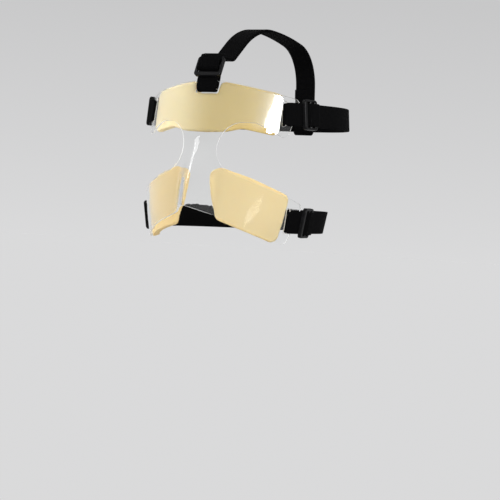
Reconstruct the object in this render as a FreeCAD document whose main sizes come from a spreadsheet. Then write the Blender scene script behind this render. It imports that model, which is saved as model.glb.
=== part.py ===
# Nose guard face mask: a clear shell with a brow band, a nose dome and two cheek wings, foam pads taped
# behind it, and three webbing straps that each fold through a slot of the shell and hold a slider.
# Millimetres. +Z up, the mask faces -Y, +X is the wearer's left. The origin is the middle of the head at
# the height of the eyes. Flat-pattern girths run along the form from the middle of the face.
import FreeCAD, Part
import math
import os
import Sketcher

Vector = FreeCAD.Vector
Flat = FreeCAD.Base.Vector2d
Geom2d = Part.Geom2d

SIZES = {
    # webbing and how close its layers lie
    "webbing_width": 20.0,
    "webbing_thickness": 1.5,
    "layer_gap": 0.3,
    "fold_gap": 0.5,
    # clear sheet
    "sheet_thickness": 2.0,
    "slot_length": 22.0,
    "slot_width": 3.6,
    "slot_corner_radius": 1.2,
    "cut_overrun": 1.0,
    "blunt_radius": 0.4,
    # the form that the sheet is drawn over, station by station from the top down
    "face_radius": 95.0,
    "form_margin": 7.5,
    "nose_reach": 19.5,
    "hairline_height": 62.0,
    "hairline_half_breadth": 89.0,
    "hairline_depth": 90.5,
    "hairline_nose_rise": 0.0,
    "brow_height": 30.0,
    "brow_half_breadth": 91.8,
    "brow_depth": 95.5,
    "brow_nose_rise": 0.0,
    "eye_line_height": 0.0,
    "eye_line_half_breadth": 92.0,
    "eye_line_depth": 99.5,
    "eye_line_nose_rise": 2.5,
    "nose_side_height": -25.0,
    "nose_side_half_breadth": 90.5,
    "nose_side_depth": 102.5,
    "nose_side_nose_rise": 11.0,
    "nose_tip_height": -55.0,
    "nose_tip_half_breadth": 86.5,
    "nose_tip_depth": 104.5,
    "nose_tip_nose_rise": 17.0,
    "jaw_height": -88.0,
    "jaw_half_breadth": 76.5,
    "jaw_depth": 105.0,
    "jaw_nose_rise": 17.0,
    # shell outline in the flat pattern
    "band_top_height": 58.5,
    "band_top_radius": 190.0,
    "band_end_girth": 89.2,
    "band_end_height": 43.2,
    "band_end_radius": 4.0,
    "band_tab_girth": 79.2,
    "band_tab_height": 8.3,
    "band_tab_radius": 5.0,
    "eye_hole_girth": 39.7,
    "eye_hole_height": -1.5,
    "eye_hole_radius": 22.5,
    "eye_brow_girth": 50.0,
    "eye_brow_radius": 14.0,
    "wing_end_girth": 103.6,
    "wing_end_height": -46.0,
    "wing_end_radius": 5.0,
    "wing_tab_girth": 96.3,
    "wing_tab_height": -82.5,
    "wing_tab_radius": 5.5,
    "lip_girth": 30.0,
    "lip_height": -62.5,
    "lip_radius": 60.0,
    "nose_edge_height": -51.9,
    "nose_edge_radius": 20.0,
    # the end strip that each strap folds round: its room is the sheet left outside the slot, and inner
    # is how far the slot lies inside the strap's middle spot
    "strip_edge_gap": 0.4,
    "brow_strip_room": 5.9,
    "brow_strip_height": 30.7,
    "brow_strip_inner": 4.9,
    "cheek_strip_room": 4.5,
    "cheek_strip_height": -61.2,
    "cheek_strip_inner": 3.7,
    "top_strip_drop": 6.3,
    "top_strip_inner": 3.6,
    "top_strip_outer": 4.8,
    # foam pads and their tape
    "foam_thickness": 6.0,
    "foam_crown": 1.0,
    "foam_draw_in": 0.8,
    "tape_thickness": 0.2,
    "bond_gap": 0.1,
    "tape_inset": 3.0,
    "brow_pad_middle_height": 33.0,
    "brow_pad_half_height": 24.0,
    "brow_pad_shoulder_splay": 2.5,
    "brow_pad_shoulder_drop": 3.8,
    "brow_pad_end_set_in": 16.4,
    "brow_pad_end_rise": 2.6,
    "brow_pad_end_radius": 4.5,
    "brow_pad_heel_set_in": 8.2,
    "brow_pad_heel_rise": 3.0,
    "brow_pad_heel_radius": 5.0,
    "brow_pad_rise_girth": 37.0,
    "brow_pad_rise_drop": 4.8,
    "brow_pad_dip_girth": 20.0,
    "brow_pad_dip_drop": 8.4,
    "brow_pad_wave_radius": 22.0,
    "notch_gap": 0.5,
    "notch_radius": 1.2,
    "cheek_pad_middle_height": -36.0,
    "cheek_pad_half_height": 22.0,
    "cheek_pad_top_girth": 23.0,
    "cheek_pad_top_height": -18.6,
    "cheek_pad_top_radius": 6.0,
    "cheek_pad_ridge_girth": 52.0,
    "cheek_pad_ridge_height": -26.3,
    "cheek_pad_ridge_radius": 60.0,
    "cheek_pad_end_set_in": 13.2,
    "cheek_pad_end_rise": 6.4,
    "cheek_pad_end_radius": 5.0,
    "cheek_pad_heel_set_in": 8.3,
    "cheek_pad_heel_rise": 0.5,
    "cheek_pad_heel_radius": 5.5,
    "cheek_pad_foot_girth": 24.0,
    "left_cheek_pad_foot_drop": 0.5,
    "right_cheek_pad_foot_drop": 6.5,
    "cheek_pad_foot_radius": 4.0,
    "cheek_pad_side_girth": 18.6,
    "cheek_pad_side_height": -44.5,
    "cheek_pad_side_radius": 60.0,
    "cheek_pad_nose_girth": 15.4,
    "cheek_pad_nose_height": -22.0,
    "cheek_pad_nose_radius": 5.5,
    "nose_relief_reach": 16.0,
    "nose_relief_depth": 25.0,
    # side straps: the straight stretch behind the tab and the loop round the head
    "bend_radius": 4.0,
    "side_run": 44.0,
    "side_tail": 36.0,
    "upper_run_heading": 7.0,
    "upper_split_heading": -45.0,
    "upper_back_reach": 93.0,
    "upper_rise_heading": 2.5,
    "lower_run_heading": -5.0,
    "lower_split_heading": -45.0,
    "lower_back_reach": 66.0,
    "lower_rise_heading": 2.0,
    # top strap: over the crown and down to its loop on the upper strap
    "top_run": 19.3,
    "top_run_heading": -24.0,
    "dip_heading": -88.0,
    "dip_radius": 4.0,
    "dip_run": 13.0,
    "dip_return_radius": 6.0,
    "rise_heading": -50.0,
    "rise_run": 22.0,
    "crown_rise": 17.9,
    "loop_gap": 0.5,
    "loop_rise": 33.0,
    "loop_lap": 12.0,
    "loop_join_heading": 20.0,
    # sliders
    "slider_length": 19.0,
    "slider_width": 26.0,
    "slider_thickness": 3.0,
    "slider_bar": 3.8,
    "slider_cross_bar": 2.6,
    "slider_window_width": 21.6,
    "slider_corner_radius": 3.0,
    "slider_window_chamfer": 0.5,
    "slider_edge_radius": 0.7,
    "slider_set_back": 1.3,
    "hump_gap": 0.3,
    "hump_splay": 1.8,
    "hump_round": 1.2,
    "hump_edge_round": 0.2,
    # stitching that closes the top strap's loop
    "stitch_width": 14.0,
    "stitch_length": 7.0,
    "stitch_thread": 0.8,
    "stitch_relief": 0.4,
    "stitch_rise": 23.0,
}
STATIONS = ("jaw", "nose_tip", "nose_side", "eye_line", "brow", "hairline")
# Girths at which the form's sections are sampled, close together over the nose, as shares of its reach
FORM_SHARES = (0, 0.03, 0.06, 0.09, 0.12, 0.15, 0.18, 0.21, 0.27, 0.36, 0.48, 0.63, 0.81, 1)
# How much of the climb to the crown the top strap's free tail goes along
TAIL_SHARE = 0.95
# Below 1, the sides of an oval section stand further forward than those of an ellipse
SIDE_FULLNESS_SHARE = 0.9
# Rows of an even inner face, and of the back of a crowned pad
EVEN_ROWS = 7
CROWNED_ROWS = 13
EYE_CORNER_SHARE = 0.999

doc = FreeCAD.newDocument("nose_guard_mask")
sheet = doc.addObject("Spreadsheet::Sheet", "Sizes")
for row, (name, value) in enumerate(SIZES.items(), start=1):
    sheet.set(f"A{row}", name)
    sheet.set(f"B{row}", str(value))
    sheet.setAlias(f"B{row}", name)
doc.recompute()


def size(name):
    """One driving dimension, read from the sheet."""
    return float(sheet.get(name))


def heading(name):
    """One named direction of the sheet, in radians."""
    return math.radians(size(name))


# Form: half an oval at each station, with the nose standing out of it as a smooth bell.
def tensor_surface(rows, row_values, column_values):
    """A smooth surface through rows of points, whose own two parameters are girth and height."""
    across = []
    for points in rows:
        curve = Part.BSplineCurve()
        curve.interpolate(Points=points, Parameters=column_values)
        across.append(curve)
    poles = []
    for i in range(across[0].NbPoles):
        curve = Part.BSplineCurve()
        curve.interpolate(Points=[c.getPole(i + 1) for c in across], Parameters=row_values)
        poles.append(curve)
    surface = Part.BSplineSurface()
    surface.buildFromPolesMultsKnots(
        [c.getPoles() for c in poles],
        across[0].getMultiplicities(), poles[0].getMultiplicities(),
        across[0].getKnots(), poles[0].getKnots(),
        False, False, across[0].Degree, poles[0].Degree)
    return surface


HEIGHTS = [size(f"{station}_height") for station in STATIONS]
FORM_REACH = size("form_margin") + max(
    size(f"{corner}_girth") for corner in ("band_end", "band_tab", "wing_end", "wing_tab"))
GIRTHS = [-FORM_REACH * share for share in reversed(FORM_SHARES[1:])]
GIRTHS += [FORM_REACH * share for share in FORM_SHARES]


def station_row(station):
    """Points of the sheet's outer face across one station."""
    points = []
    for girth in GIRTHS:
        angle = girth / size("face_radius")
        x = size(f"{station}_half_breadth") * math.sin(angle)
        forward = math.cos(angle)
        y = -size(f"{station}_depth") * math.copysign(abs(forward) ** SIDE_FULLNESS_SHARE, forward)
        reach_share = min(abs(x) / size("nose_reach"), 1)
        y -= size(f"{station}_nose_rise") * (1 - reach_share ** 2) ** 2
        points.append(Vector(x, y, size(f"{station}_height")))
    return points


OUTER_FORM = tensor_surface([station_row(s) for s in STATIONS], HEIGHTS, GIRTHS)


def out_of_form(girth, height):
    """The direction that points straight out of the sheet's outer face."""
    angle = girth / size("face_radius")
    normal = OUTER_FORM.normal(girth, height)
    if normal.dot(Vector(math.sin(angle), -math.cos(angle), 0)) < 0:
        normal = -normal
    return normal


def inner_form(depth, count):
    """The form's surface moved inwards over a count of rows; depth follows girth and height."""
    low = HEIGHTS[0]
    heights = [low + (HEIGHTS[-1] - low) * i / (count - 1) for i in range(count)]
    rows = []
    for height in heights:
        points = []
        for girth in GIRTHS:
            spot = OUTER_FORM.value(girth, height)
            points.append(spot - out_of_form(girth, height) * depth(girth, height))
        rows.append(points)
    return tensor_surface(rows, heights, GIRTHS)


def even(depth):
    """A depth that is the same all over."""
    return lambda girth, height: depth


# Flat pattern: rounded polygons, then solids wrapped between two surfaces.
def rounded_pieces(corners):
    """Lines and tangent arcs round a closed polygon, as points; each corner is x, y, radius."""
    arcs = []
    count = len(corners)
    for i, (x, y, radius) in enumerate(corners):
        before = corners[i - 1]
        after = corners[(i + 1) % count]
        u = Vector(before[0] - x, before[1] - y, 0).normalize()
        v = Vector(after[0] - x, after[1] - y, 0).normalize()
        half = u.getAngle(v) / 2
        corner = Vector(x, y, 0)
        start = corner + u * (radius / math.tan(half))
        top = corner + (u + v).normalize() * (radius / math.sin(half) - radius)
        end = corner + v * (radius / math.tan(half))
        arcs.append((start, top, end))
    pieces = []
    for i, arc in enumerate(arcs):
        pieces.append(arc)
        pieces.append((arc[2], arcs[(i + 1) % count][0]))
    return pieces


def rim_on(surface, corners):
    """Edges of a rounded outline drawn on a surface, in its own two parameters."""
    edges = []
    for piece in rounded_pieces(corners):
        flat = [Flat(spot.x, spot.y) for spot in piece]
        curve = Geom2d.Line2dSegment(*flat) if len(flat) == 2 else Geom2d.ArcOfCircle2d(*flat)
        edges.append(curve.toShape(surface))
    return edges


def wrapped_solid(outer, inner, outer_corners, inner_corners, holes=()):
    """The closed solid between two form surfaces, bounded by flat outlines, with holes through both."""
    rims = []
    for on_outer, on_inner in [(outer_corners, inner_corners)] + [(hole, hole) for hole in holes]:
        rims.append((rim_on(outer, on_outer), rim_on(inner, on_inner)))
    faces = []
    for side, surface in enumerate((outer, inner)):
        face = Part.Face(surface, Part.Wire(rims[0][side]))
        if holes:
            face.cutHoles([Part.Wire(rim[side]) for rim in rims[1:]])
        face.validate()
        faces.append(face)
    for on_outer, on_inner in rims:
        faces += [Part.makeRuledSurface(a, b) for a, b in zip(on_outer, on_inner)]
    skin = Part.Compound(faces)
    skin.sewShape()
    solid = Part.Solid(skin.Shells[0])
    if solid.Volume < 0:
        solid.reverse()
    return solid


def both_sides(half):
    """A closed symmetric outline from the corners of its +X half, listed from top to bottom."""
    return half + [(-g, z, r) for g, z, r in reversed(half) if g > 0]


def drawn_in(corners, inset):
    """The same outline drawn inwards: outer corners get tighter and inner corners wider."""
    count = len(corners)
    moved = []
    for i, (x, y, radius) in enumerate(corners):
        before = corners[i - 1]
        after = corners[(i + 1) % count]
        u = Vector(before[0] - x, before[1] - y, 0).normalize()
        v = Vector(after[0] - x, after[1] - y, 0).normalize()
        outer = u.cross(v).z * outline_sense(corners) > 0
        shift = (u + v).normalize() * (inset / math.sin(u.getAngle(v) / 2))
        if outer:
            moved.append((x + shift.x, y + shift.y, max(radius - inset, size("blunt_radius"))))
        else:
            moved.append((x - shift.x, y - shift.y, radius + inset))
    return moved


def outline_sense(corners):
    """-1 for an outline that runs anticlockwise, +1 for clockwise, as cross products see it."""
    area = 0
    for i, (x, y, radius) in enumerate(corners):
        next_x, next_y, next_radius = corners[(i + 1) % len(corners)]
        area += x * next_y - next_x * y
    return -math.copysign(1, area)


# Shell outline: the wing's upper edge runs from its end corner as a tangent to the eye hole.
EYE_SIDE_GIRTH = size("eye_hole_girth") - size("eye_hole_radius")
EYE_TOP_HEIGHT = size("eye_hole_height") + size("eye_hole_radius")
BAND_TOP = (0, size("band_top_height"), size("band_top_radius"))
BAND_END = (size("band_end_girth"), size("band_end_height"), size("band_end_radius"))
BAND_TAB = (size("band_tab_girth"), size("band_tab_height"), size("band_tab_radius"))
WING_END = (size("wing_end_girth"), size("wing_end_height"), size("wing_end_radius"))
WING_TAB = (size("wing_tab_girth"), size("wing_tab_height"), size("wing_tab_radius"))
LIP = (size("lip_girth"), size("lip_height"), size("lip_radius"))


def wing_root():
    """The corner where the upright side of the eye hole meets the wing's upper edge."""
    across = size("eye_hole_girth") - WING_END[0]
    up = size("eye_hole_height") - WING_END[1]
    reach = math.hypot(across, up)
    slope = math.atan2(up, across) + math.asin(size("eye_hole_radius") / reach)
    height = WING_END[1] + (EYE_SIDE_GIRTH - WING_END[0]) * math.tan(slope)
    return (EYE_SIDE_GIRTH, height, size("eye_hole_radius"))


WING_ROOT = wing_root()
SHELL_HALF = [
    BAND_TOP,
    BAND_END,
    BAND_TAB,
    (size("eye_brow_girth"), EYE_TOP_HEIGHT, size("eye_brow_radius")),
    (EYE_SIDE_GIRTH, EYE_TOP_HEIGHT, size("eye_hole_radius") * EYE_CORNER_SHARE),
    (WING_ROOT[0], WING_ROOT[1], size("eye_hole_radius") * EYE_CORNER_SHARE),
    WING_END,
    WING_TAB,
    LIP,
    (0, size("nose_edge_height"), size("nose_edge_radius")),
]


# Where the straps pass the sheet: a frame on the outer face at the middle of each end strip.
class Strip:
    """The strip between a strap slot and the sheet's edge, with the directions the webbing takes there."""

    def __init__(self, girth, height, inner, outer, upright):
        self.spot = OUTER_FORM.value(girth, height)
        self.out = out_of_form(girth, height)
        if upright:
            self.width = Vector(1, 0, 0)
            self.run = self.out.cross(self.width)
        else:
            self.run = Vector(-self.out.y, self.out.x, 0).normalize()
            self.width = self.out.cross(self.run)
        self.inner = inner
        self.outer = outer

    def slot(self):
        """Corners of the slot in the flat pattern."""
        corners = []
        for near, up in ((0, -1), (0, 1), (1, 1), (1, -1)):
            spot = self.spot - self.run * (self.inner + near * size("slot_width"))
            spot += self.width * (up * size("slot_length") / 2)
            girth, height = OUTER_FORM.parameter(spot)
            corners.append((girth, height, size("slot_corner_radius")))
        return corners


def side_strip(name, end, tab):
    """The strip at a side edge of the sheet, which runs from an end corner down to a tab corner."""
    height = size(f"{name}_strip_height")
    inner = size(f"{name}_strip_inner")
    edges = []
    for up in (-1, 1):
        level = height + up * size("slot_length") / 2
        edges.append(end[0] + (tab[0] - end[0]) * (level - end[1]) / (tab[1] - end[1]))
    girth = min(edges) - size(f"{name}_strip_room") + inner
    return Strip(girth, height, inner, max(edges) - girth + size("strip_edge_gap"), False)


BROW_STRIP = side_strip("brow", BAND_END, BAND_TAB)
CHEEK_STRIP = side_strip("cheek", WING_END, WING_TAB)
TOP_STRIP_HEIGHT = BAND_TOP[1] - size("top_strip_drop")
TOP_STRIP = Strip(0, TOP_STRIP_HEIGHT, size("top_strip_inner"), size("top_strip_outer"), True)


def mirrored(corners):
    """The same outline on the other side of the face."""
    return [(-girth, height, radius) for girth, height, radius in reversed(corners)]


PARTS = {}


def add_by_code(name, shape):
    """A document object for a shape that no ready-made feature can draw."""
    part = doc.addObject("Part::Feature", name)
    part.Shape = shape
    part.Label = name
    PARTS[name] = part
    return part


def add_extrusion(name, profile, direction):
    """Webbing drawn from its side view, as wide as the webbing and centred on that view."""
    part = doc.addObject("Part::Extrusion", name)
    part.Base = profile
    part.DirMode = "Custom"
    part.Dir = direction
    part.Symmetric = True
    part.setExpression("LengthFwd", "Sizes.webbing_width")
    PARTS[name] = part
    return part


# Clear shell with its five slots
SLOTS = [
    BROW_STRIP.slot(),
    mirrored(BROW_STRIP.slot()),
    CHEEK_STRIP.slot(),
    mirrored(CHEEK_STRIP.slot()),
    TOP_STRIP.slot(),
]
SHELL_OUTLINE = both_sides(SHELL_HALF)
BACK_FORM = inner_form(even(size("sheet_thickness")), EVEN_ROWS)
add_by_code("shell", wrapped_solid(OUTER_FORM, BACK_FORM, SHELL_OUTLINE, SHELL_OUTLINE, SLOTS))

# Tape and foam pads, seated one behind the other with a bond line between them
TAPE_FRONT = size("sheet_thickness") + size("bond_gap")
TAPE_BACK = TAPE_FRONT + size("tape_thickness")
FOAM_FRONT = TAPE_BACK + size("bond_gap")


def nose_relief(girth, height):
    """A share that falls to 0 inside the nose, where nothing is padded."""
    low_share = min(max(-height / size("nose_relief_depth"), 0), 1)
    near_share = max(1 - (girth / size("nose_relief_reach")) ** 2, 0) ** 2
    return 1 - low_share * near_share


def crowned(middle_height, half_height, slope):
    """Depth of a pad's back: the foam is thickest along the middle line of the pad."""
    def depth(girth, height):
        away_share = min(abs(height - middle_height - slope * abs(girth)) / half_height, 1)
        foam = size("foam_thickness") + size("foam_crown") * (1 - away_share ** 2)
        return FOAM_FRONT + foam * nose_relief(girth, height)
    return depth


def set_in(corner, name):
    """A pad's corner, set in from a corner of the sheet and raised from it."""
    return (corner[0] - size(f"{name}_set_in"), corner[1] + size(f"{name}_rise"), size(f"{name}_radius"))


def own_corner(name):
    """A pad's corner with a girth and a height of its own."""
    return (size(f"{name}_girth"), size(f"{name}_height"), size(f"{name}_radius"))


# The notch lets the top strap through: it clears the strap's edges and the bottom of its fold.
NOTCH_HALF_WIDTH = size("webbing_width") / 2 + size("notch_gap")
FOLD_REACH = (size("sheet_thickness") + size("fold_gap") + size("layer_gap")) / 2 + size("webbing_thickness")
NOTCH_HEIGHT = TOP_STRIP_HEIGHT - size("top_strip_inner") - FOLD_REACH - size("notch_gap")
BROW_PAD_HALF = [
    (NOTCH_HALF_WIDTH, NOTCH_HEIGHT, size("notch_radius")),
    (
        NOTCH_HALF_WIDTH + size("brow_pad_shoulder_splay"),
        BAND_TOP[1] - size("brow_pad_shoulder_drop"), size("notch_radius")),
    set_in(BAND_END, "brow_pad_end"),
    set_in(BAND_TAB, "brow_pad_heel"),
    (size("brow_pad_rise_girth"), EYE_TOP_HEIGHT - size("brow_pad_rise_drop"), size("brow_pad_wave_radius")),
    (size("brow_pad_dip_girth"), EYE_TOP_HEIGHT - size("brow_pad_dip_drop"), size("brow_pad_wave_radius")),
]


def cheek_pad(side):
    """Outline of a cheek pad on the +X side; the right pad was cut lower beside the mouth."""
    foot = LIP[1] - size(f"{side}_cheek_pad_foot_drop")
    return [
        own_corner("cheek_pad_top"),
        own_corner("cheek_pad_ridge"),
        set_in(WING_END, "cheek_pad_end"),
        set_in(WING_TAB, "cheek_pad_heel"),
        (size("cheek_pad_foot_girth"), foot, size("cheek_pad_foot_radius")),
        own_corner("cheek_pad_side"),
        own_corner("cheek_pad_nose"),
    ]


CHEEK_SLOPE = (WING_TAB[1] - LIP[1]) / (WING_TAB[0] - LIP[0])
TAPE_FORMS = (inner_form(even(TAPE_FRONT), EVEN_ROWS), inner_form(even(TAPE_BACK), EVEN_ROWS))
FOAM_FORM = inner_form(even(FOAM_FRONT), EVEN_ROWS)
BROW_BACK = inner_form(
    crowned(size("brow_pad_middle_height"), size("brow_pad_half_height"), 0), CROWNED_ROWS)
CHEEK_BACK = inner_form(
    crowned(size("cheek_pad_middle_height"), size("cheek_pad_half_height"), CHEEK_SLOPE), CROWNED_ROWS)
for pad, outline, back in (
        ("forehead", both_sides(BROW_PAD_HALF), BROW_BACK),
        ("left_cheek", cheek_pad("left"), CHEEK_BACK),
        ("right_cheek", mirrored(cheek_pad("right")), CHEEK_BACK)):
    tape = drawn_in(outline, size("tape_inset"))
    add_by_code(f"{pad}_tape", wrapped_solid(*TAPE_FORMS, tape, tape))
    face_side = drawn_in(outline, size("foam_draw_in"))
    add_by_code(f"{pad}_pad", wrapped_solid(FOAM_FORM, back, outline, face_side))


# Strap paths, seen along the width of the webbing. Headings turn from the second axis towards the
# first one. Going back from the slot, the outside of the strap is on the right.
def along(direction):
    """The way one step of a heading goes."""
    return Vector(math.sin(direction), math.cos(direction), 0)


def right_of(direction):
    """Square to a heading, on its right."""
    return Vector(math.cos(direction), -math.sin(direction), 0)


def run_move(length):
    return ("run", length, 0)


def bend_move(angle, radius):
    """A short bend: all edge lines of the strap take it with the same radius."""
    return ("bend", angle, radius)


def turn_move(angle, radius):
    """A wide turn: edge lines that lie further out take it with a larger radius."""
    return ("turn", angle, radius)


def fold_move(radius):
    """Back on itself, to the left, round the strip."""
    return ("fold", -math.pi, radius)


def walk(start, direction, moves, side, lean):
    """Pieces of one edge line: side is its distance right of the path, lean its shift outwards."""
    shift = -lean
    spot = start + right_of(direction) * (side + shift)
    pieces = []
    for i, (kind, amount, radius) in enumerate(moves):
        if kind == "run":
            length = amount
            for neighbour in moves[max(i - 1, 0):i] + moves[i + 1:i + 2]:
                if neighbour[0] == "bend":
                    length -= shift * math.tan(neighbour[1] / 2)
            end = spot + along(direction) * length
            pieces.append((spot, end))
        else:
            sense = math.copysign(1, amount)
            reach = radius - sense * side
            if kind == "turn":
                reach -= sense * shift
            centre = spot + right_of(direction) * (sense * reach)
            middle = centre - right_of(direction + amount / 2) * (sense * reach)
            direction += amount
            end = centre - right_of(direction) * (sense * reach)
            pieces.append((spot, middle, end))
            if kind == "fold":
                shift = -shift
        spot = end
    return pieces, spot, direction


def walk_back(end, direction, moves):
    """Start and heading of a path that arrives at a point with a heading."""
    turned = [
        (kind, amount if kind == "run" else -amount, radius)
        for kind, amount, radius in reversed(moves)
    ]
    pieces, start, facing = walk(end, direction + math.pi, turned, 0, 0)
    return start, facing - math.pi


def edge_of(piece):
    """The line or arc through two or three points."""
    if len(piece) == 2:
        return Part.LineSegment(*piece).toShape()
    return Part.Arc(*piece).toShape()


def strap_section(start, direction, moves, half_thickness, lean, place):
    """Closed wire round a strap's section, with place lifting flat points into the frame."""
    right = walk(start, direction, moves, half_thickness, lean)[0]
    left = walk(start, direction, moves, -half_thickness, lean)[0]
    left = [piece[::-1] for piece in reversed(left)]
    pieces = right + [(right[-1][-1], left[0][0])] + left + [(left[-1][-1], right[0][0])]
    return Part.Wire([edge_of([place(spot) for spot in piece]) for piece in pieces])


HALF_WEBBING = size("webbing_thickness") / 2
LAYER_STEP = size("webbing_thickness") + size("layer_gap")


class StrapEnd:
    """Tail, fold and strip of a strap at one slot, flat, with the straight stretch for its slider."""

    def __init__(self, spot, strip_heading, strip, run_heading, spread):
        # spread turns a distance square to the webbing into one in the plane of the path
        self.heading = run_heading
        self.spread = spread
        turn = strip_heading - run_heading
        outside = (size("layer_gap") + HALF_WEBBING) * spread
        inside = (size("sheet_thickness") + size("fold_gap") + HALF_WEBBING) * spread
        u = along(strip_heading)
        self.fold = spot - u * strip.inner - right_of(strip_heading) * inside
        self.fold_heading = strip_heading + math.pi
        self.corner = spot + u * strip.outer + right_of(strip_heading) * outside
        across = right_of(run_heading)
        reach = -((self.fold - self.corner).dot(across) + LAYER_STEP * spread) / math.sin(turn)
        self.tail_corner = self.fold + u * reach
        self.tangent = size("bend_radius") * math.tan(turn / 2)
        self.inner_moves = [
            bend_move(turn, size("bend_radius")),
            run_move(reach - self.tangent),
        ]
        self.outer_moves = [
            fold_move((inside + outside) / 2),
            run_move(strip.inner + strip.outer - self.tangent),
            bend_move(-turn, size("bend_radius")),
        ]

    def at(self, distance):
        """A point of the path, measured along the straight stretch from its corner."""
        return self.corner + along(self.heading) * distance


# Side straps: a leaning band, drawn as a loft between its lower and its upper edge. It climbs a little
# on its way to the back of the head.
SIDE_STRAPS = {}


def side_place(strip, level, climb):
    """Lifts flat points of a side strap into the frame."""
    return lambda flat: Vector(flat.x, flat.y, level + (flat.y - strip.spot.y) * climb)


for name, strip in (("upper", BROW_STRIP), ("lower", CHEEK_STRIP)):
    lean_sine = strip.out.z
    spread = 1 / math.sqrt(1 - lean_sine ** 2)
    spot = Vector(strip.spot.x, strip.spot.y, 0)
    strip_heading = math.atan2(strip.run.x, strip.run.y)
    end = StrapEnd(spot, strip_heading, strip, heading(f"{name}_run_heading"), spread)
    split = heading(f"{name}_split_heading")
    back = size(f"{name}_back_reach")
    climb = math.tan(heading(f"{name}_rise_heading"))
    turn_start = end.at(size("side_run"))
    # two radii close the loop at the middle of the back
    a11 = math.cos(split) - math.cos(end.heading)
    a12 = -math.cos(split)
    a21 = math.sin(end.heading) - math.sin(split)
    a22 = math.sin(split) + 1
    b1 = -turn_start.x
    b2 = back - turn_start.y
    det = a11 * a22 - a12 * a21
    side_radius = (b1 * a22 - a12 * b2) / det
    back_radius = (a11 * b2 - a21 * b1) / det
    half = [run_move(size("side_tail") - end.tangent)]
    half += end.inner_moves + end.outer_moves
    half += [
        run_move(size("side_run") - end.tangent),
        turn_move(split - end.heading, side_radius),
        turn_move(-math.pi / 2 - split, back_radius),
    ]
    start, start_heading = walk_back(end.fold, end.fold_heading, half[:3])
    moves = half + half[::-1]
    edges = []
    for edge, rise in (("low", -1), ("high", 1)):
        level = strip.spot.z + rise * size("webbing_width") / 2 / spread
        lean = -rise * size("webbing_width") / 2 * lean_sine
        wire = strap_section(
            start, start_heading, moves, HALF_WEBBING * spread, lean, side_place(strip, level, climb))
        line = doc.addObject("Part::Feature", f"{name}_strap_{edge}_edge")
        line.Shape = wire
        edges.append(line)
    strap = doc.addObject("Part::Loft", f"{name}_strap")
    strap.Sections = edges
    strap.Solid = True
    strap.Ruled = True
    PARTS[f"{name}_strap"] = strap
    SIDE_STRAPS[name] = (end, strip, lean_sine, back, climb)

# Top strap: drawn in the middle plane, first axis forwards and second axis up
TOP_HEADING = math.atan2(-TOP_STRIP.run.y, TOP_STRIP.run.z)
TOP_END = StrapEnd(
    Vector(-TOP_STRIP.spot.y, TOP_STRIP.spot.z, 0), TOP_HEADING, TOP_STRIP,
    heading("top_run_heading"), 1)
upper_end, upper_strip, upper_lean, upper_back, upper_climb = SIDE_STRAPS["upper"]
# The loop's outer layer runs down square to the upper strap, which leans.
LOOP_HEADING = -math.pi + math.asin(upper_lean)
LOOP_RADIUS = (size("webbing_thickness") * 2 + size("loop_gap") * 2) / 2
LOOP_MIDDLE = Vector(-upper_back, upper_strip.spot.z + (upper_back - upper_strip.spot.y) * upper_climb, 0)
LOOP_MIDDLE += right_of(LOOP_HEADING) * LOOP_RADIUS
LOOP_TOP = LOOP_MIDDLE - along(LOOP_HEADING) * size("loop_rise")
dip = heading("dip_heading")
rise = heading("rise_heading")
over_brow = [
    turn_move(dip - TOP_END.heading, size("dip_radius")),
    run_move(size("dip_run")),
    turn_move(rise - dip, size("dip_return_radius")),
    run_move(size("rise_run")),
]
rise_end = walk(TOP_END.at(size("top_run")), TOP_END.heading, over_brow, 0, 0)[1]
crown_radius = size("crown_rise") / (1 + math.sin(rise))
crown_turn = -math.pi / 2 - rise
crown = walk(rise_end, rise, [turn_move(crown_turn, crown_radius)], 0, 0)[1]
# Two arcs join the crown and the loop, with tangents of one length at both ends
leave = along(-math.pi / 2)
arrive = along(LOOP_HEADING)
gap = LOOP_TOP - crown
spare = 2 * (1 - leave.dot(arrive))
pull = gap.dot(leave + arrive)
tangent = (math.sqrt(pull ** 2 + spare * gap.dot(gap)) - pull) / spare
joint_way = gap - (leave + arrive) * tangent
split = math.atan2(joint_way.x, joint_way.y)
crown_back_radius = tangent / math.tan((-math.pi / 2 - split) / 2)
nape_radius = tangent / math.tan((split - LOOP_HEADING) / 2)
tail_straight = (TOP_END.tail_corner - TOP_END.at(size("top_run"))).dot(along(TOP_END.heading))
join = heading("loop_join_heading")
join_tangent = size("bend_radius") * math.tan(join / 2)
join_run = (2 * LOOP_RADIUS - LAYER_STEP) / math.sin(join) - 2 * join_tangent
loop_depth = size("webbing_width") / 2 + size("loop_gap")
# the free tail lies under the strap, one layer further in, and is drawn from its end to the slot
top_tail = [turn_move(-crown_turn * TAIL_SHARE, crown_radius - LAYER_STEP)]
for kind, amount, radius in reversed(over_brow):
    if kind == "run":
        top_tail.append(run_move(amount))
    else:
        top_tail.append(turn_move(-amount, radius + math.copysign(LAYER_STEP, amount)))
top_tail += [run_move(-tail_straight - TOP_END.tangent)] + TOP_END.inner_moves
top_moves = top_tail + TOP_END.outer_moves + [run_move(size("top_run") - TOP_END.tangent)] + over_brow + [
    turn_move(crown_turn, crown_radius),
    turn_move(split + math.pi / 2, crown_back_radius),
    turn_move(LOOP_HEADING - split, nape_radius),
    run_move(size("loop_rise") + loop_depth),
    fold_move(LOOP_RADIUS),
    run_move(2 * loop_depth),
    bend_move(-join, size("bend_radius")),
    run_move(join_run),
    bend_move(join, size("bend_radius")),
    run_move(size("loop_lap")),
]
start, start_heading = walk_back(TOP_END.fold, TOP_END.fold_heading, top_tail)
top_profile = doc.addObject("Part::Feature", "top_strap_profile")
top_profile.Shape = Part.Face(strap_section(
    start, start_heading, top_moves, HALF_WEBBING, 0,
    lambda flat: Vector(0, -flat.x, flat.y)))
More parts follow.
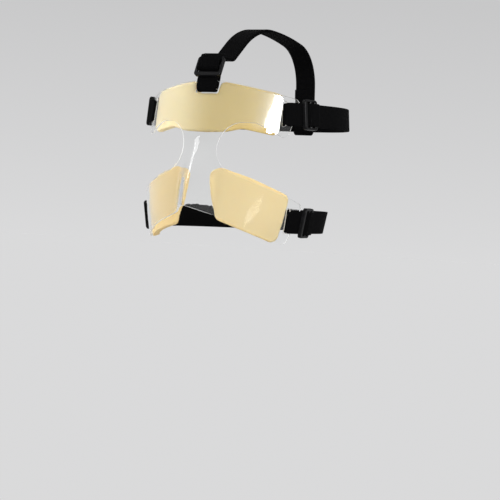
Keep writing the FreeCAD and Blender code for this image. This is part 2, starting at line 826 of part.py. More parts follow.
add_extrusion("top_strap", top_profile, Vector(1, 0, 0))


# Sliders, each in the frame of its strap: X across the webbing, Y along it, Z outwards
def frame_placement(spot, x_axis, y_axis, z_axis):
    """A placement whose own axes point along three directions."""
    return FreeCAD.Placement(FreeCAD.Matrix(
        x_axis.x, y_axis.x, z_axis.x, spot.x,
        x_axis.y, y_axis.y, z_axis.y, spot.y,
        x_axis.z, y_axis.z, z_axis.z, spot.z))


def rectangle_sketch(body, name, rectangles):
    """A sketch of upright rectangles: each is named sizes for width and length, and a middle's shift."""
    sketch = body.newObject("Sketcher::SketchObject", name)
    sketch.AttachmentSupport = [(body.Origin.OriginFeatures[3], "")]
    sketch.MapMode = "FlatFace"
    for count, (width, length, shift) in enumerate(rectangles):
        spots = [Vector(-1, -1, 0), Vector(1, -1, 0), Vector(1, 1, 0), Vector(-1, 1, 0)]
        first = sketch.GeometryCount
        for i in range(4):
            sketch.addGeometry(Part.LineSegment(spots[i], spots[(i + 1) % 4]), False)
        for i in range(4):
            sketch.addConstraint(Sketcher.Constraint("Coincident", first + i, 2, first + (i + 1) % 4, 1))
        sketch.addConstraint(Sketcher.Constraint("Horizontal", first))
        sketch.addConstraint(Sketcher.Constraint("Horizontal", first + 2))
        sketch.addConstraint(Sketcher.Constraint("Vertical", first + 1))
        sketch.addConstraint(Sketcher.Constraint("Vertical", first + 3))
        for direction, corner, amount in (
                ("DistanceX", (first, 2), f"{width} / 2"),
                ("DistanceY", (first + 1, 2), f"{shift} + ({length}) / 2"),
                ("DistanceX", (first, 1), f"-({width}) / 2"),
                ("DistanceY", (first, 1), f"{shift} - ({length}) / 2")):
            index = sketch.addConstraint(Sketcher.Constraint(direction, -1, 1, *corner, 1.0))
            sketch.setExpression(f"Constraints[{index}]", amount)
    return sketch


def slider_body(name, placement):
    """Ladder slider: a plate with two windows, so that two end bars and a cross bar are left."""
    body = doc.addObject("PartDesign::Body", name)
    body.Label = name
    plate = rectangle_sketch(
        body, f"{name}_outline", [("Sizes.slider_width", "Sizes.slider_length", "0")])
    pad = body.newObject("PartDesign::Pad", f"{name}_plate")
    pad.Profile = plate
    pad.setExpression("Length", "Sizes.slider_thickness")
    window = "(Sizes.slider_length - 2 * Sizes.slider_bar - Sizes.slider_cross_bar) / 2"
    shift = "(Sizes.slider_length - 2 * Sizes.slider_bar + Sizes.slider_cross_bar) / 4"
    windows = rectangle_sketch(
        body, f"{name}_windows",
        [("Sizes.slider_window_width", window, shift), ("Sizes.slider_window_width", window, f"-{shift}")])
    pocket = body.newObject("PartDesign::Pocket", f"{name}_window_cuts")
    pocket.Profile = windows
    pocket.Type = 1
    pocket.Reversed = True
    doc.recompute()
    corners = upright_edges(pocket.Shape, size("slider_width") / 2)
    corner_fillet = body.newObject("PartDesign::Fillet", f"{name}_corners")
    corner_fillet.Base = (pocket, corners)
    corner_fillet.setExpression("Radius", "Sizes.slider_corner_radius")
    doc.recompute()
    half_width = size("slider_window_width") / 2
    outer_rim = top_rim_edges(corner_fillet.Shape, half_width, True)
    edge_fillet = body.newObject("PartDesign::Fillet", f"{name}_edges")
    edge_fillet.Base = (corner_fillet, outer_rim)
    edge_fillet.setExpression("Radius", "Sizes.slider_edge_radius")
    doc.recompute()
    inner_rim = top_rim_edges(edge_fillet.Shape, half_width, False)
    chamfer = body.newObject("PartDesign::Chamfer", f"{name}_window_edges")
    chamfer.Base = (edge_fillet, inner_rim)
    chamfer.setExpression("Size", "Sizes.slider_window_chamfer")
    body.Tip = chamfer
    doc.recompute()
    if pocket.Shape.Volume >= pad.Shape.Volume:
        raise RuntimeError(f"{name}: the windows did not cut")
    body.Placement = placement
    PARTS[name] = body
    return body


def upright_edges(shape, reach):
    """Names of the plate's four outer corner edges."""
    names = []
    for number, edge in enumerate(shape.Edges, start=1):
        low, high = (vertex.Point for vertex in edge.Vertexes)
        flat = Vector(low.x - high.x, low.y - high.y, 0).Length
        if flat < size("bond_gap") and abs(abs(low.x) - reach) < size("bond_gap"):
            names.append(f"Edge{number}")
    return names


def top_rim_edges(shape, window_reach, outside):
    """Names of the edges of the plate's upper face: those of its rim, or those of its windows."""
    top = shape.BoundBox.ZMax
    bar = size("slider_length") / 2 - size("slider_bar")
    names = []
    for number, edge in enumerate(shape.Edges, start=1):
        box = edge.BoundBox
        inside = max(-box.XMin, box.XMax) < window_reach + size("bond_gap")
        inside = inside and max(-box.YMin, box.YMax) < bar + size("bond_gap")
        if box.ZMin > top - size("bond_gap") and inside != outside:
            names.append(f"Edge{number}")
    return names


def hump_outline():
    """Side view of the webbing that covers the cross bar and the rear bar: along the strap, and outwards."""
    under = size("slider_thickness") + size("hump_gap")
    over = under + size("webbing_thickness")
    splay = size("hump_splay")
    slant = size("webbing_thickness") * math.hypot(splay, under) / under
    blunt = size("hump_edge_round")
    sides = []
    for bar_end in (size("slider_length") / 2, size("slider_cross_bar") / 2):
        near = bar_end + size("hump_gap")
        foot = near + splay + slant
        crest = foot - splay * over / under
        sides.append([
            (crest, over, size("hump_round")),
            (foot, 0, blunt),
            (near + splay, 0, blunt),
            (near, under, blunt),
        ])
    rear, front = sides
    return rear + mirrored(front)


def add_slider(name, spot, run, outward, place):
    """A slider with its hump of webbing, standing on the outer face of a strap."""
    spot = place(spot) + place(outward) * (HALF_WEBBING + size("layer_gap"))
    y_axis = place(run)
    z_axis = place(outward)
    x_axis = y_axis.cross(z_axis)
    slider_body(f"{name}_slider", frame_placement(spot, x_axis, y_axis, z_axis))
    profile = doc.addObject("Part::Feature", f"{name}_hump_profile")
    profile.Shape = Part.Face(Part.Wire([
        edge_of([spot + y_axis * flat.x + z_axis * flat.y for flat in piece])
        for piece in rounded_pieces(hump_outline())]))
    add_extrusion(f"{name}_hump", profile, x_axis)
    print(name, "slides along", [round(value, 4) for value in y_axis])


def same_side(flat):
    return flat


def other_side(flat):
    return Vector(-flat.x, flat.y, flat.z)


def top_side(flat):
    return Vector(0, -flat.x, flat.y)


REST = size("slider_set_back") + size("slider_length") / 2
for name, (end, strip, lean_sine, back, climb) in SIDE_STRAPS.items():
    spot = side_place(strip, strip.spot.z, climb)(end.at(REST))
    run = along(end.heading)
    run = (run + Vector(0, 0, run.y * climb)).normalize()
    outward = right_of(end.heading) / end.spread + Vector(0, 0, lean_sine)
    outward = (outward - run * outward.dot(run)).normalize()
    add_slider(f"left_{name}", spot, run, outward, same_side)
    add_slider(f"right_{name}", spot, run, outward, other_side)
add_slider("top", TOP_END.at(REST), along(TOP_END.heading), right_of(TOP_END.heading), top_side)

# Stitching through both layers above the loop, drawn as the frame of thread that shows outside
stitch_spot = LOOP_MIDDLE - along(LOOP_HEADING) * size("stitch_rise")
stitch_spot += right_of(LOOP_HEADING) * (HALF_WEBBING + size("bond_gap"))
stitch_frame = frame_placement(
    top_side(stitch_spot), Vector(-1, 0, 0),
    top_side(-along(LOOP_HEADING)), top_side(right_of(LOOP_HEADING)))


def box(name, width, length, height, drop):
    """A box in the stitching's frame, centred across it, with expressions for its sizes."""
    part = doc.addObject("Part::Box", name)
    part.setExpression("Length", width)
    part.setExpression("Width", length)
    part.setExpression("Height", height)
    doc.recompute()
    shift = Vector(-part.Length.Value / 2, -part.Width.Value / 2, -drop)
    part.Placement = stitch_frame.multiply(FreeCAD.Placement(shift, FreeCAD.Rotation()))
    return part


stitching = doc.addObject("Part::Cut", "top_strap_stitching")
stitching.Base = box("stitch_block", "Sizes.stitch_width", "Sizes.stitch_length", "Sizes.stitch_relief", 0)
stitching.Tool = box(
    "stitch_field",
    "Sizes.stitch_width - 2 * Sizes.stitch_thread", "Sizes.stitch_length - 2 * Sizes.stitch_thread",
    "Sizes.stitch_relief + 2 * Sizes.cut_overrun", size("cut_overrun"))
PARTS["top_strap_stitching"] = stitching

# Last look at every object, then one file for each piece
doc.recompute()
os.makedirs("parts", exist_ok=True)
for thing in doc.Objects:
    if "Invalid" in thing.State or "Error" in thing.State:
        raise RuntimeError(f"{thing.Name} did not build: {thing.State}")
for name, part in PARTS.items():
    part.Label = name
    shape = part.Shape
    if shape.isNull() or not shape.isValid() or len(shape.Solids) != 1:
        raise RuntimeError(f"{name} is not one sound solid")
    shape.exportStep(f"parts/{name}.step")
    print(name, round(shape.Volume), "mm3")
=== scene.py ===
# %% [markdown]
# A clear guard for a hurt nose
#
# This mask is a 2 mm sheet of clear plastic with three foam pads behind it. Elastic webbing holds
# it on through five sliders. The solids come from the packed frame, in metres, and say where
# everything is. Here they get their finish, and the soft pieces are made as soft ones.

# %% The frame
import math

import bmesh
import bpy
import numpy
from mathutils import Matrix, Vector, noise
from mathutils.bvhtree import BVHTree


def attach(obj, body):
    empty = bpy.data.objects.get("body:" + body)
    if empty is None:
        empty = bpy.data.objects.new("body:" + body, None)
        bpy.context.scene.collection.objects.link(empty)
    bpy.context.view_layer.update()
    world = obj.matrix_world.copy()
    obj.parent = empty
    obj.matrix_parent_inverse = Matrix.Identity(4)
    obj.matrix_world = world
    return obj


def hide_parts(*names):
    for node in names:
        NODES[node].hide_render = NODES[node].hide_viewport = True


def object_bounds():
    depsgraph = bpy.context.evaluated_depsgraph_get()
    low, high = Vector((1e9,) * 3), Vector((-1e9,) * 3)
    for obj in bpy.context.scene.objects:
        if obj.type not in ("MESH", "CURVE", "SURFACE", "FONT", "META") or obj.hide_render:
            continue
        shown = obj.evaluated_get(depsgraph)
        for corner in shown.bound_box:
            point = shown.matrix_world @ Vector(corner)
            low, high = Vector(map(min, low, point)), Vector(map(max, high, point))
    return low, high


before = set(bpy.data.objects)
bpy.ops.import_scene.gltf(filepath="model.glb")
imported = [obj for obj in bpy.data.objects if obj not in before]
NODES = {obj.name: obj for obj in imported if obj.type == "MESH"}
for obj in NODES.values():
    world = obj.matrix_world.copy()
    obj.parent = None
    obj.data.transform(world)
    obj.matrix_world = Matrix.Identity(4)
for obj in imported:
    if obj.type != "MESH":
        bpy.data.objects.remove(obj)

CAD_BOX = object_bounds()
MM = 0.001
print("pieces in the frame:", len(NODES))

# %% [markdown]
# The camera
#
# The mask was photographed from the wearer's left front, almost level, with a long lens. A long
# lens keeps the far side of a small object nearly as large as the near side. A Track To
# constraint could aim the camera at a point, but the picture also leans by a few degrees. So the
# camera's three directions are worked out here: the picture's right, its up, and the way back
# to the lens.

# %% The camera
FOCAL_PIXELS, PICTURE_PIXELS, SENSOR_MM = 1788.68, 500.0, 36.0
YAW, PITCH, ROLL = 0.49919, 0.00108, 0.06575
ORIGIN_RIGHT_MM, ORIGIN_UP_MM, ORIGIN_AHEAD_MM = 4.0925, 87.127, 1616.09
NEAREST, FARTHEST = 0.001, 100


def camera_axes(yaw, pitch, roll):
    """The picture's right, its up and the way back to the lens, as directions in the scene."""
    side = Vector((math.cos(yaw), math.sin(yaw), 0))
    level = Vector((math.sin(yaw), -math.cos(yaw), 0))
    back = level * math.cos(pitch) + Vector((0, 0, math.sin(pitch)))
    up = Vector((0, 0, math.cos(pitch))) - level * math.sin(pitch)
    right = side * math.cos(roll) + up * math.sin(roll)
    return right, up * math.cos(roll) - side * math.sin(roll), back


right, up, back = camera_axes(YAW, PITCH, ROLL)
lens_spot = (back * ORIGIN_AHEAD_MM - right * ORIGIN_RIGHT_MM - up * ORIGIN_UP_MM) * MM
camera = bpy.data.objects.new("camera", bpy.data.cameras.new("camera"))
bpy.context.scene.collection.objects.link(camera)
facing = Matrix((right, up, back)).transposed().to_4x4()
camera.matrix_world = Matrix.Translation(lens_spot) @ facing
camera.data.sensor_width = SENSOR_MM
camera.data.lens = FOCAL_PIXELS * SENSOR_MM / PICTURE_PIXELS
camera.data.clip_start, camera.data.clip_end = NEAREST, FARTHEST
bpy.context.scene.camera = camera
bpy.context.scene.view_settings.view_transform = "Standard"
print("lens, mm:", round(camera.data.lens, 1), "at", [round(c, 3) for c in lens_spot])

# %% [markdown]
# Shader maths in plain Python
#
# Blender's node graph is a list of small sums. Written as Python expressions they read like the
# finish they describe, so one small class wraps a socket and gives it the usual operators. A
# second class holds a material's graph and adds any other node by its type.

# %% Sockets that can be added and multiplied


class Wire:
    """One output socket, with arithmetic."""

    def __init__(self, graph, socket):
        self.graph, self.socket = graph, socket

    def __add__(self, other):
        return self.graph.number("ADD", self, other)

    def __sub__(self, other):
        return self.graph.number("SUBTRACT", self, other)

    def __rsub__(self, other):
        return self.graph.number("SUBTRACT", other, self)

    def __mul__(self, other):
        return self.graph.number("MULTIPLY", self, other)

    def __truediv__(self, other):
        return self.graph.number("DIVIDE", self, other)

    def __rtruediv__(self, other):
        return self.graph.number("DIVIDE", other, self)

    __radd__, __rmul__ = __add__, __mul__

    def sine(self):
        return self.graph.number("SINE", self)

    def at_most(self, limit):
        return self.graph.number("MINIMUM", self, limit)

    def between(self, low, high):
        """0 below low and 1 above high, with a soft step from one to the other."""
        return self.graph.add("ShaderNodeMapRange", {"interpolation_type": "SMOOTHSTEP"},
                              {"Value": self, "From Min": low, "From Max": high})


print("a wire adds, takes away, multiplies and divides, and has", ", ".join(
    name for name in vars(Wire) if not name.startswith("_")))

# %% A material and its graph


class Finish:
    """A material or a world, and its graph."""

    def __init__(self, owner):
        self.owner = bpy.data.materials.new(owner) if isinstance(owner, str) else owner
        self.owner.use_nodes = True
        self.tree = self.owner.node_tree
        self.tree.nodes.clear()

    def add(self, kind, settings=None, inputs=None, output=0):
        """Any node: its type, its settings, and the values or wires of its sockets."""
        node = self.tree.nodes.new(kind)
        for key, value in (settings or {}).items():
            if key == "stops":
                self.fill_ramp(node.color_ramp, value)
            else:
                setattr(node, key, value)
        pairs = inputs.items() if isinstance(inputs, dict) else enumerate(inputs or [])
        for key, value in pairs:
            self.feed(node.inputs[key], value)
        return Wire(self, node.outputs[output])

    def feed(self, socket, value):
        if isinstance(value, Wire):
            self.tree.links.new(value.socket, socket)
        else:
            socket.default_value = value

    def fill_ramp(self, ramp, stops):
        while len(ramp.elements) < len(stops):
            ramp.elements.new(1)
        for element, (place, colour) in zip(ramp.elements, stops):
            element.position, element.color = place, colour

    def number(self, operation, *values):
        return self.add("ShaderNodeMath", {"operation": operation}, values)

    def mix(self, share, first, second):
        """A colour between two others."""
        return self.add(
            "ShaderNodeMix", {"data_type": "RGBA"}, {0: share, 6: first, 7: second}, 2)

    def layer(self, share, under, over):
        """Two shaders, the second one with this share."""
        return self.add("ShaderNodeMixShader", {}, [share, under, over])

    def place(self):
        return self.add("ShaderNodeTexCoord", output="Object")

    def part(self, vector, spot):
        """One of a vector's three numbers."""
        return self.add("ShaderNodeSeparateXYZ", {}, [vector], spot)

    def noise(self, per_metre, detail=2.0, roughness=0.5):
        return self.add("ShaderNodeTexNoise", {}, {
            "Vector": self.place(), "Scale": per_metre, "Detail": detail,
            "Roughness": roughness})

    def bump(self, height, depth_mm, strength=1.0):
        return self.add("ShaderNodeBump", {}, {
            "Height": height, "Distance": depth_mm * MM, "Strength": strength})

    def skin(self, **sockets):
        """The usual shader; an underscore in a socket's name stands for a space."""
        return self.add("ShaderNodeBsdfPrincipled", {}, {
            name.replace("_", " "): value for name, value in sockets.items()})

    def surface(self, shader, kind="ShaderNodeOutputMaterial"):
        """The last node, which shows this shader."""
        self.tree.links.new(shader.socket, self.tree.nodes.new(kind).inputs["Surface"])
        return self.owner


X, Y, Z = 0, 1, 2
WHITE = (1, 1, 1, 1)
print("a finish makes", ", ".join(name for name in vars(Finish) if not name.startswith("_")))

# %% [markdown]
# Floor and background
#
# The studio is a pale floor under a grey-white background that darkens a little upwards. The lens
# was lower than the mask's lowest edge, so the floor lies just below the lens and is seen almost
# edge on. Near the mask it is a real lit floor that takes the shadow. Further out it fades into
# the colour of the background, so that no line parts the two. It isn't mirrored in gloss, because
# it would hide the low lamp that draws a faint shine on a cheek pad. A backdrop could be a bent
# sheet, but the world does it here, so nothing stands in the way of a camera behind the mask.

# %% A pale floor
HORIZON = (0.70, 0.70, 0.705, 1)
FLOOR_TONES = (0.595, 0.595, 0.595, 1), (0.615, 0.615, 0.615, 1)
FLOOR_RADIUS, FLOOR_CORNERS, FLOOR_GAP_MM = 30.0, 96, 0.1
SHADOW_REACH, PLAIN_REACH = 0.18, 0.5
CAMERA_RAY, SHADOW_RAY, DIFFUSE_RAY, GLOSSY_RAY, CLEAR_RAY = 0, 1, 2, 3, 6


def ray_kinds(finish, *kinds):
    """For each kind of ray, 1 on such a ray and 0 on any other."""
    return [finish.add("ShaderNodeLightPath", output=kind) for kind in kinds]


def seen_by_eye(finish):
    """1 for what the camera, the gloss and the clear sheet look at, 0 for what lights the mask."""
    direct, glossy, bent = ray_kinds(finish, CAMERA_RAY, GLOSSY_RAY, CLEAR_RAY)
    return (direct + glossy + bent).at_most(1.0)


floor_height = min(CAD_BOX[0][2], lens_spot.z) - FLOOR_GAP_MM * MM
floor_mesh = bmesh.new()
bmesh.ops.create_circle(
    floor_mesh, cap_ends=True, radius=FLOOR_RADIUS, segments=FLOOR_CORNERS)
floor_data = bpy.data.meshes.new("floor")
floor_mesh.to_mesh(floor_data)
floor_mesh.free()
floor = bpy.data.objects.new("floor", floor_data)
floor.location.z = floor_height
bpy.context.scene.collection.objects.link(floor)
floor.visible_glossy = False
pale = Finish("pale_floor")
duller, brighter = [pale.add("ShaderNodeBsdfDiffuse", {}, [tone]) for tone in FLOOR_TONES]
lit = pale.layer(pale.noise(per_metre=14.0, detail=3.0), duller, brighter)
plain = pale.add("ShaderNodeEmission", {}, [HORIZON, 1.0])
out_there = pale.add("ShaderNodeVectorMath", {"operation": "LENGTH"}, [pale.place()], "Value")
fade = out_there.between(SHADOW_REACH, PLAIN_REACH) * seen_by_eye(pale)
floor_data.materials.append(pale.surface(pale.layer(fade, lit, plain)))
print("floor at, mm:", round(floor_height / MM, 1))

# %% The world
SKY_LIGHT = 0.515
SKY_TONES = [(0.0, HORIZON), (0.14, (0.575, 0.575, 0.58, 1)), (1.0, (0.62, 0.62, 0.62, 1))]
world = bpy.data.worlds.new("studio")
bpy.context.scene.world = world
sky = Finish(world)
upward = sky.part(sky.add("ShaderNodeTexCoord"), Z)
shade = sky.add("ShaderNodeValToRGB", {"stops": SKY_TONES}, [upward])
backdrop = sky.add("ShaderNodeBackground", {}, [shade, 1.0])
lighting = sky.add("ShaderNodeBackground", {}, [WHITE, SKY_LIGHT])
sky.surface(sky.layer(seen_by_eye(sky), lighting, backdrop), "ShaderNodeOutputWorld")
print("sky light:", SKY_LIGHT)

# %% [markdown]
# Lamps
#
# A lamp does two jobs: it lights, and gloss mirrors its outline. Here each job has lamps of its
# own, so that the light on the foam and the patches of shine can be set apart. A broad lamp on
# the wearer's right fades across the brow, two weaker ones fill the left, and one stands behind.
# The mirrored ones light nothing: a long tilted lamp draws the slanted white patch on the band,
# where its tilt matters, a low one draws the faint shine on the near cheek pad, and a small high
# one the streak down the nose. Directions are degrees round from the front, towards the wearer's
# left, and degrees up.

# %% Soft boxes
AIM = Vector((0, -0.08, 0))


def soft_box(name, round_deg, up_deg, far, size, light, tilt_deg=0, mirrored=False):
    """A rectangular lamp of this share of full light, that either lights or is mirrored."""
    turn, rise = math.radians(round_deg), math.radians(up_deg)
    toward = Vector((
        math.sin(turn) * math.cos(rise), -math.cos(turn) * math.cos(rise), math.sin(rise)))
    lamp = bpy.data.objects.new(name, bpy.data.lights.new(name, "AREA"))
    lamp.data.shape, lamp.data.energy = "RECTANGLE", light * (math.pi * far) ** 2
    lamp.data.size, lamp.data.size_y = size
    lamp.location = AIM + toward * far
    facing = toward.to_track_quat("Z", "Y").to_matrix()
    tilted = facing @ Matrix.Rotation(math.radians(tilt_deg), 3, "Z")
    lamp.rotation_euler = tilted.to_euler()
    lamp.visible_glossy = lamp.visible_transmission = mirrored
    lamp.visible_diffuse = not mirrored
    bpy.context.scene.collection.objects.link(lamp)
    print(name, "watts", round(lamp.data.energy, 1))
    return lamp


soft_box("key", -85, 25, far=2.0, size=(1.0, 1.2), light=1.1)
soft_box("cheek_fill", 60, -2, far=1.8, size=(0.8, 0.5), light=0.13)
soft_box("side_fill", 54.3, 16.3, far=1.6, size=(1.16, 0.36), light=0.53, tilt_deg=27)
window = soft_box("tilted_window", 55.7, 16.3, far=1.6, size=(1.16, 0.36), light=2.1,
                  tilt_deg=27, mirrored=True)
low_window = soft_box("low_window", 49, -5.5, far=1.6, size=(0.36, 0.14), light=0.05,
                      tilt_deg=12, mirrored=True)
nose_strip = soft_box("nose_strip", -44, 36, far=1.8, size=(0.46, 0.46), light=0.1,
                      mirrored=True)
soft_box("back", 180, 40, far=2.0, size=(1.2, 1.0), light=0.3)

# %% [markdown]
# The clear sheet
#
# The shell is formed from clear plastic that bends light like glass. Glass in a path tracer
# blocks the lamps, so the pads behind it would be dark. Caustics could carry the light through,
# but they are slow and grainy. The sheet therefore lets light that only passes through go
# straight on, and bends what the eye sees. Where the sheet was cut, the saw and the file leave a
# fine frost: these rims catch the light and draw the outline of the eye openings.

# %% Clear plastic
PLASTIC_IOR = 1.49
SHEET_TONE, SHEET_PASSES = (0.985, 0.99, 0.985, 1), (0.96, 0.97, 0.965, 1)
RIM_TONES, RIM_PASSES = ((0.90, 0.92, 0.94, 1), (0.98, 0.99, 1, 1)), (0.9, 0.9, 0.9, 1)
WAVE_MM, FILED_MM = 0.015, 0.05
POLISHED, HANDLED_ROUGHER = 0.02, 0.05


def see_through(finish, skin, passing_tone):
    """Bends what the eye sees and lets lamplight pass straight on."""
    passing = finish.add("ShaderNodeBsdfTransparent", {}, [passing_tone])
    shadow, diffuse, glossy, bent = ray_kinds(
        finish, SHADOW_RAY, DIFFUSE_RAY, GLOSSY_RAY, CLEAR_RAY)
    straight = (shadow + diffuse + glossy * (1 - bent)).at_most(1.0)
    return finish.surface(finish.layer(straight, skin, passing))


clear = Finish("clear_sheet")
wave = clear.noise(per_metre=26.0, detail=1.0)
handled = clear.noise(per_metre=60.0, detail=3.0).between(low=0.5, high=0.8)
clear_sheet = see_through(clear, clear.skin(
    Base_Color=SHEET_TONE, Roughness=handled * HANDLED_ROUGHER + POLISHED, IOR=PLASTIC_IOR,
    Transmission_Weight=1.0, Normal=clear.bump(wave, WAVE_MM)), SHEET_PASSES)
rim = Finish("cut_rim")
filed = rim.noise(per_metre=1500.0, detail=2.0)
cut_rim = see_through(rim, rim.skin(
    Base_Color=rim.mix(filed, *RIM_TONES), Roughness=0.42, IOR=PLASTIC_IOR,
    Normal=rim.bump(filed, FILED_MM, strength=0.6)), RIM_PASSES)
print("plastic bends light by", PLASTIC_IOR)

# %% [markdown]
# The shell's faces
#
# The solid's mesh comes in patches, one for each of its own faces. The two largest are the
# sheet's front and back, and all others lie along its cuts. A copy of the mesh gets the frosted
# finish on those, with its patches joined so that light bends once at each face. The faces could
# be picked by their direction instead, but the cuts turn all ways round the openings. Each new
# piece then hides the solid it stands for and moves with a body.

# %% Patches of a mesh


def patches(mesh):
    """Groups of faces that hang together by their edges, the largest first."""
    left, groups = set(mesh.faces), []
    for face in mesh.faces:
        if face not in left:
            continue
        group = [face]
        left.discard(face)
        for near in group:
            for edge in near.edges:
                for other in edge.link_faces:
                    if other in left:
                        left.discard(other)
                        group.append(other)
        groups.append(group)
    return sorted(groups, key=lambda group: -sum(face.calc_area() for face in group))


def tree_of(faces):
    """These faces alone, ready to be asked for a nearest point or what a ray hits."""
    spots, polygons = [], []
    for face in faces:
        polygons.append(range(len(spots), len(spots) + len(face.verts)))
        spots += [vertex.co.copy() for vertex in face.verts]
    return BVHTree.FromPolygons(spots, polygons)


shell_mesh = bmesh.new()
shell_mesh.from_mesh(NODES["shell"].data)
sheet_tree = tree_of(shell_mesh.faces)
shell_patches = patches(shell_mesh)
print("patches:", len(shell_patches), "of", len(shell_mesh.faces), "faces")

# %% The shell and its cuts
SHELL_SKINS, SHELL_WELD_MM = 2, 0.002


def new_piece(name, data, *materials):
    """A mesh with its finish becomes a smooth object in the scene."""
    for material in materials:
        data.materials.append(material)
    data.polygons.foreach_set("use_smooth", [True] * len(data.polygons))
    piece = bpy.data.objects.new(name, data)
    bpy.context.scene.collection.objects.link(piece)
    return piece


def mesh_data(name, mesh):
    """The edited mesh as an object's data, and the edit is over."""
    data = bpy.data.meshes.new(name)
    mesh.to_mesh(data)
    mesh.free()
    return data


for number, group in enumerate(shell_patches):
    for face in group:
        face.material_index = int(number >= SHELL_SKINS)
bmesh.ops.remove_doubles(shell_mesh, verts=shell_mesh.verts, dist=SHELL_WELD_MM * MM)
for edge in shell_mesh.edges:
    edge.smooth = len({face.material_index for face in edge.link_faces}) == 1
shell = new_piece("clear_shell", mesh_data("clear_shell", shell_mesh), clear_sheet, cut_rim)
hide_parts("shell")
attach(shell, "mask")
print("shell faces:", len(shell.data.polygons))

# %% [markdown]
# Adhesive film
#
# A clear adhesive film holds each pad to the shell. It wets the foam unevenly, and its smooth
# skin doubles the shine of the sheet before it. A coat on the foam would follow its soft, pitted
# surface, so the film is a thin sheet of its own, just off the pad's front: a hazy gloss and a
# sharp one are laid in small shares over a shader that shows nothing. The brow film grows wetter
# towards the wearer's left, where it mirrors the tilted lamp as a white patch. Only the part
# that the clear sheet covers may shine. So each point of the film looks outwards for the sheet,
# and keeps what it finds as an attribute of the mesh, which the shares are multiplied by.

# %% The film's finish
HAZY_SHARE, WET_SHARE, WETTER_SHARE, LEAST_WET = 0.014, 0.024, 0.06, 0.5
BROW_ROUGHNESS, CHEEK_ROUGHNESS, HAZY_ROUGHNESS = 0.08, 0.14, 0.4
WETTER_FROM_TO_MM = (40, 50)
BEHIND = "behind_sheet"


def film_finish(name, roughness, wetter_from_to_mm=None):
    """A sharp and a hazy gloss over the foam; the sharp one may grow to the wearer's left."""
    film = Finish(name)
    sharp, hazy = [
        film.add("ShaderNodeBsdfAnisotropic", {}, {"Color": WHITE, "Roughness": amount})
        for amount in (roughness, HAZY_ROUGHNESS)]
    nothing = film.add("ShaderNodeBsdfTransparent", {}, [WHITE])
    uneven = film.noise(per_metre=260.0, detail=3.0).between(low=0.3, high=0.7)
    wetted = (uneven + LEAST_WET) * WET_SHARE
    if wetter_from_to_mm:
        across = film.part(film.place(), X) / MM
        wetted = wetted + across.between(*wetter_from_to_mm) * WETTER_SHARE
    behind = film.add("ShaderNodeAttribute", {"attribute_name": BEHIND}, output=2)
    glazed = film.layer(behind * HAZY_SHARE, nothing, hazy)
    return film.surface(film.layer(behind * wetted, glazed, sharp))


brow_film = film_finish("brow_film", BROW_ROUGHNESS, WETTER_FROM_TO_MM)
cheek_film = film_finish("cheek_film", CHEEK_ROUGHNESS)
print("film finishes:", brow_film.name, cheek_film.name)

# %% Three sheets of film
FILM_OFF_MM, FILM_MM, SHEET_NEAR_MM = 0.2, 0.1, 4.0
SHARP_FROM = math.radians(40)


def front_and_back(groups):
    """The two largest patches of a pad, the one nearer to the sheet first."""
    return sorted(groups[:2], key=lambda group: -sum(
        face.calc_center_median().xy.length for face in group) / len(group))


def film_mesh(pad):
    """The pad's front, moved off it and given a thickness, and a search tree of that front."""
    mesh = bmesh.new()
    mesh.from_mesh(NODES[pad].data)
    front = set(front_and_back(patches(mesh))[0])
    others = [face for face in mesh.faces if face not in front]
    bmesh.ops.delete(mesh, geom=others, context="FACES")
    mesh.normal_update()
    pad_front = tree_of(mesh.faces)
    for vertex in mesh.verts:
        vertex.co += vertex.normal * FILM_OFF_MM * MM
    bmesh.ops.solidify(mesh, geom=list(mesh.faces), thickness=FILM_MM * MM)
    for edge in mesh.edges:
        edge.smooth = edge.calc_face_angle(0) < SHARP_FROM
    return mesh, pad_front


def film_sheet(name, tape, pad, material):
    """A film that knows where the clear sheet is before it."""
    mesh, pad_front = film_mesh(pad)
    data = mesh_data(name, mesh)
    behind = data.attributes.new(BEHIND, "FLOAT", "POINT").data
    for spot, vertex in zip(behind, data.vertices):
        outwards = pad_front.find_nearest(vertex.co)[1]
        hit = sheet_tree.ray_cast(vertex.co, outwards, SHEET_NEAR_MM * MM)[0]
        spot.value = float(hit is not None)
    share = sum(spot.value for spot in behind) / len(behind)
    print(name, "faces", len(data.polygons), "behind the sheet", round(share, 2))
    piece = new_piece(name, data, material)
    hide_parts(tape)
    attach(piece, "mask")
    return piece


films = [film_sheet("forehead_film", "forehead_tape", "forehead_pad", brow_film),
         film_sheet("left_cheek_film", "left_cheek_tape", "left_cheek_pad", cheek_film),
         film_sheet("right_cheek_film", "right_cheek_tape", "right_cheek_pad", cheek_film)]

# %% [markdown]
# Which piece mirrors which lamp
#
# On a real sheet the shine depends on every small bend of its surface. The model's bends differ
# a little, so a lamp could also draw its image where the real mask has none. Bending the sheet
# until each image falls right would spoil its form. Light linking is kinder: a lamp gets a
# collection of the pieces that it leaves out, and goes on reaching all others.

# %% Light linking


def kept_dark(name, *pieces):
    """A collection that lights everything but these pieces."""
    unlit = bpy.data.collections.new(name)
    for spot, piece in enumerate(pieces):
        unlit.objects.link(piece)
        unlit.collection_objects[spot].light_linking.link_state = "EXCLUDE"
    return unlit


for lamp, dark in ((window, kept_dark("no_window", shell, *films[1:])),
                   (low_window, kept_dark("no_low_window", shell, films[0])),
                   (nose_strip, kept_dark("no_nose_strip", *films))):
    lamp.light_linking.receiver_collection = dark

# %% [markdown]
# Slider plastic
#
# The sliders are moulded nylon, nearly black, with a fine grain that breaks up the highlights and
# a slightly lighter wear where thumbs push. The grain could be carved into the mesh, but at this
# size a bump in the material looks the same. The solids keep their own shape, so they only take
# a finish.

